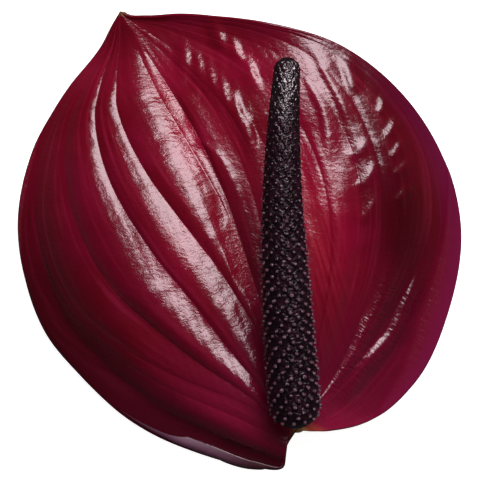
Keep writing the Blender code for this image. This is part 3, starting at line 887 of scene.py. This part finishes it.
def make_spathe():
    """Fine sheet: an upper and an under face and a rounded margin between them."""
    share = np.linspace(0, 1, ROWS + 1)[1:-1] ** ROW_CROWDING
    left_columns, right_columns = pleat_columns(LEFT), pleat_columns(RIGHT)
    left, left_across, left_creased = half_surface(LEFT, left_columns, share)
    right, right_across, right_creased = half_surface(RIGHT, right_columns, share)
    rows = np.concatenate([left[:0:-1], right]).transpose(1, 0, 2)
    across = np.concatenate([-left_across[:0:-1], right_across]).T
    creased = np.concatenate([left_creased[:0:-1], right_creased]).T
    column = np.concatenate([-left_columns[:0:-1], right_columns])

    # The under face has fewer columns, and rests level where the upper face has settled
    count, width = rows.shape[:2]
    normals = eased(unit(np.cross(np.gradient(rows, axis=1), np.gradient(rows, axis=0))), NORMAL_EASING)
    kept = np.unique(np.append(np.arange(0, width, UNDER_STRIPS), width - 1))
    under = (rows - SHEET * normals)[:, kept]
    under[..., 2] = np.where(rows[:, kept, 2] < SHEET + LEVEL_WITHIN, 0, under[..., 2])
    base = (*MIDRIB[0], MIDRIB_HEIGHT[0][1])
    tip = np.array((*MIDRIB[-1], MIDRIB_HEIGHT[-1][1]))
    ends = [base, tip, base - np.array((0, 0, SHEET)), tip - SHEET * normals[-1, width // 2]]
    body = np.concatenate([rows.reshape(-1, 3), under.reshape(-1, 3), ends])

    under_start, ends_start = count * width, len(body) - len(ends)
    upper_layer = (0, count, width, ends_start, ends_start + 1)
    under_layer = (under_start, count, len(kept), ends_start + 2, ends_start + 3)
    upper_faces = layer_faces(*upper_layer)
    under_faces = [face[::-1] for face in layer_faces(*under_layer)]
    margin, margin_faces = round_margin(body, layer_edge(*upper_layer), layer_edge(*under_layer))
    body = np.concatenate([body, *margin])
    body[:, 2] = np.maximum(body[:, 2], 0)

    slots = [0] * len(upper_faces) + [1] * len(under_faces) + [0] * len(margin_faces)
    made = make_mesh("spathe_sheet", body, upper_faces + under_faces + margin_faces,
                     [face_material(), back_material()], slots)
    add_sheet_maps(made, across, creased, column, share, kept)
    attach(made, "root")
    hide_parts("spathe")


def spadix_rings(share):
    """Centres, sideways, upward and forward directions and radii of rings along the spadix."""
    centres = along(SPADIX_PATH, share)
    ahead = unit(np.gradient(centres, axis=0))
    sideways = unit(np.cross(ahead, (0, 0, 1)))
    upward = np.cross(sideways, ahead)
    path = along(SPADIX_PATH, np.linspace(0, 1, PATH_SAMPLES))
    length = float(np.linalg.norm(np.diff(path, axis=0), axis=1).sum())
    radius = at_share(SPADIX_WIDTHS, share) / 2
    for from_end, end_radius in ((share * length, radius[0]), ((1 - share) * length, radius[-1])):
        rounded = np.sqrt(np.clip(1 - (1 - from_end / end_radius)**2, 0, 1))
        radius = radius * np.where(from_end < end_radius, rounded, 1)
    return centres, sideways, upward, ahead, radius


def spiral(ring):
    """Half florets by which a ring is turned."""
    return SPIRAL * np.minimum(ring, SPIRAL_RINGS)


def floret_height(ring, turn):
    """Relief of the florets, 0 to 1, over rings and half florets round: four lobes and a pit in each."""
    p, q = (ring + turn) / 2, (ring - turn) / 2
    u, v = p - np.round(p), q - np.round(q)
    dome = (1 - (2 * np.abs(u))**DOME_POWER) * (1 - (2 * np.abs(v))**DOME_POWER)
    lobes = 1 - np.exp(-((np.abs(u) - np.abs(v)) / SEAM_WIDTH)**2)
    middle = np.exp(-(u * u + v * v) / PIT_WIDTH**2)
    return dome * (1 - SEAM_DEPTH + SEAM_DEPTH * lobes) - PIT_DEPTH * middle


def make_spike(centres, sideways, upward, radius):
    """Points and faces of the spike with its diamond lattice of florets."""
    rings, sides = len(centres), FLORETS_ROUND * STEPS_ROUND
    ring = np.arange(rings)[:, None] / STEPS_ALONG
    turn = np.arange(sides)[None] * 2 / STEPS_ROUND
    angle = (math.pi * (turn + spiral(ring)) / FLORETS_ROUND)[..., None]
    reach = radius[:, None] + FLORET_RELIEF * (floret_height(ring, turn) - 1)
    reach = np.maximum(reach, NARROWEST_RADIUS)[..., None]
    out = np.cos(angle) * sideways[:, None] + np.sin(angle) * upward[:, None]
    points = centres[:, None] + reach * out

    # The rings run clockwise seen from the tip, so the faces are turned to look outwards
    *quads, first, last = tube(0, rings, sides)
    faces = [(a, d, c, b) for a, b, c, d in quads] + [first[::-1], last[::-1]]
    return points.reshape(-1, 3), faces


def stigma(foot, lean, side, ahead, size):
    """Points of one peg: the rings of its profile and its top."""
    points = []
    for lift, swell in STIGMA_PROFILE:
        for s in range(STIGMA_SIDES):
            angle = math.tau * s / STIGMA_SIDES
            round_peg = STIGMA_WIDTH * math.cos(angle) * side + STIGMA_LENGTH * math.sin(angle) * ahead
            points.append(foot + lean * lift * STIGMA_HEIGHT * size + size * swell / 2 * round_peg)
    points.append(foot + lean * STIGMA_HEIGHT * size)
    return np.array(points)


def stigma_faces(start):
    """Faces of one peg whose points begin at start."""
    top = start + len(STIGMA_PROFILE) * STIGMA_SIDES
    last = top - STIGMA_SIDES
    fan = [(last + s, last + (s + 1) % STIGMA_SIDES, top) for s in range(STIGMA_SIDES)]
    return ring_quads(start, len(STIGMA_PROFILE), STIGMA_SIDES) + fan


def make_stigmas(centres, sideways, upward, ahead, radius):
    """One peg on each open floret, leaning towards the base: the points of each."""
    vary = np.random.default_rng(STIGMA_SEED)
    pegs = []
    for i in range(FIRST_STIGMAS, FLORET_RINGS - 1):
        here = i / (FLORET_RINGS - 1)
        if here > OPEN_FLORETS:
            break
        k = i * STEPS_ALONG
        shrunk = 1 - SHRINK_BY * float(smooth_step(here, SHRINK_FROM, OPEN_FLORETS))
        for j in range(i % 2, 2 * FLORETS_ROUND, 2):
            size = shrunk * vary.uniform(*STIGMA_SIZES)
            turned = math.pi * (j + spiral(i)) / FLORETS_ROUND
            out = math.cos(turned) * sideways[k] + math.sin(turned) * upward[k]
            side = -math.sin(turned) * sideways[k] + math.cos(turned) * upward[k]
            back = STIGMA_LEAN * vary.uniform(*STIGMA_LEANS)
            lean = out - back * ahead[k] + vary.uniform(*STIGMA_SIDE_LEANS) * side
            foot = centres[k] + out * (radius[k] - STIGMA_SINK)
            pegs.append(stigma(foot, lean, side, ahead[k], size))
    return pegs


def neck_rings():
    """Rings of points up the neck, from the sheet to the spike, slimmest halfway."""
    low, high = MIDRIB_HEIGHT[0][1] + CLEARANCE, SPADIX_PATH[0][2]

    def width_at(height, angle):
        return NECK_WIDTH * (1 - NECK_WAIST * math.sin(math.pi * (height - low) / (high - low)))

    return upright_rings(low, high, NECK_RINGS, NECK_SIDES, width_at)


def make_spadix():
    """Spike with a diamond lattice of florets, each open one with its stigma, and the neck under it."""
    share = np.linspace(0, 1, (FLORET_RINGS - 1) * STEPS_ALONG + 1)
    centres, sideways, upward, ahead, radius = spadix_rings(share)
    spike, faces = make_spike(centres, sideways, upward, radius)
    points, slots = [spike], [0] * len(faces)
    total = len(spike)
    for peg in make_stigmas(centres, sideways, upward, ahead, radius):
        faces += stigma_faces(total)
        points.append(peg)
        total += len(peg)
    slots += [1] * (len(faces) - len(slots))

    points.append(neck_rings())
    faces += tube(total, NECK_RINGS + 1, NECK_SIDES)
    slots += [2] * (len(faces) - len(slots))
    made = make_mesh("spadix_spike", np.concatenate(points), faces,
                     [spadix_material(), stigma_material(), neck_material()], slots)
    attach(made, "root")
    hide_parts("spadix")


def make_stalk():
    """Stalk with a swollen collar under the spathe and a clean cut end."""
    top = MIDRIB_HEIGHT[0][1] - SHEET - CLEARANCE

    def width_at(height, angle):
        flare = (COLLAR_WIDTH - STALK_WIDTH) * float(smooth_step(height, top - COLLAR_HEIGHT, top))
        bevel = CUT_BEVEL * (1 - float(smooth_step(height, 0, CUT_HEIGHT)))
        ridge = RIDGE_HEIGHT * math.sin(RIDGES * angle + RIDGE_TWIST * height)
        return STALK_WIDTH + flare - bevel + ridge

    points = upright_rings(0, top, STALK_RINGS, STALK_SIDES, width_at)
    made = make_mesh("stalk", points, tube(0, STALK_RINGS + 1, STALK_SIDES), [stalk_material()])
    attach(made, "root")
    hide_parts("stem")


def from_photo(right, up):
    """The flower's x and y of an offset to the right and up in the photo."""
    return right * math.cos(LEAN) + up * math.sin(LEAN), up * math.cos(LEAN) - right * math.sin(LEAN)


def photo_middle():
    """Point in metres under the photo's middle, at the height of the flower's face."""
    x, y = from_photo((PHOTO_PIXELS / 2 - BASE_PIXEL[0]) * PIXEL_SIZE,
                      (BASE_PIXEL[1] - PHOTO_PIXELS / 2) * PIXEL_SIZE)
    return Vector((BASE.x + x * MM, BASE.y + y * MM, FOCUS_HEIGHT))


def add_camera():
    """Camera straight above the photo's middle, whose picture is as wide as the photo at the face."""
    middle = photo_middle()
    data = bpy.data.cameras.new("camera")
    data.sensor_width = data.sensor_height = SENSOR_WIDTH
    data.lens = SENSOR_WIDTH * (CAMERA_HEIGHT - FOCUS_HEIGHT) / (PHOTO_PIXELS * PIXEL_SIZE * MM)
    data.clip_start = CLIP_START
    camera = bpy.data.objects.new("camera", data)
    camera.location = (middle.x, middle.y, CAMERA_HEIGHT)
    camera.rotation_euler = (0, 0, -LEAN)
    bpy.context.scene.collection.objects.link(camera)
    bpy.context.scene.camera = camera


def add_light(name, direction, distance, width, height, radiance, glossy):
    """Rectangular light that faces the flower's middle, out of the camera's sight."""
    data = bpy.data.lights.new(name, "AREA")
    data.shape = "RECTANGLE"
    data.size, data.size_y = width, height
    data.energy = radiance * math.pi * width * height
    light = bpy.data.objects.new(name, data)
    across = Vector((0, 0, 1)).cross(direction)
    across = across.normalized() if across.length > SMALLEST else Vector((1, 0, 0))
    turn = Matrix((across, direction.cross(across), direction)).transposed().to_4x4()
    light.matrix_world = Matrix.Translation(photo_middle() + direction * distance) @ turn
    light.visible_camera = False
    light.visible_glossy = glossy
    bpy.context.scene.collection.objects.link(light)


def add_lights():
    """The window of light, its brighter middle, the fill and a dim surround."""
    right, up, out = KEY_DIRECTION
    key = Vector((*from_photo(right, up), out)).normalized()
    for name, distance, half_angles, radiance in (("key", KEY_DISTANCE, KEY_HALF_ANGLES, KEY_RADIANCE),
                                                  ("core", CORE_DISTANCE, CORE_HALF_ANGLES, CORE_RADIANCE)):
        width, height = (2 * distance * math.tan(math.radians(angle)) for angle in half_angles)
        add_light(name, key, distance, width, height, radiance, True)
    add_light("fill", Vector((0, 0, 1)), FILL_HEIGHT, FILL_SIZE, FILL_SIZE, FILL_RADIANCE, False)
    world = bpy.data.worlds.new("dim studio")
    world.use_nodes = True
    background = world.node_tree.nodes["Background"]
    background.inputs["Color"].default_value = (1, 1, 1, 1)
    background.inputs["Strength"].default_value = WORLD_LIGHT
    bpy.context.scene.world = world
    bpy.context.scene.view_settings.view_transform = "Standard"


def add_floor():
    """Pale floor just below the flower, which its gloss doesn't show."""
    bpy.ops.mesh.primitive_plane_add(size=FLOOR_SIZE, location=(0, 0, -FLOOR_DROP))
    floor = bpy.context.object
    floor.name = "floor"
    floor.data.materials.append(floor_material())
    floor.visible_glossy = False


make_spathe()
make_spadix()
make_stalk()
add_floor()
add_lights()
add_camera()
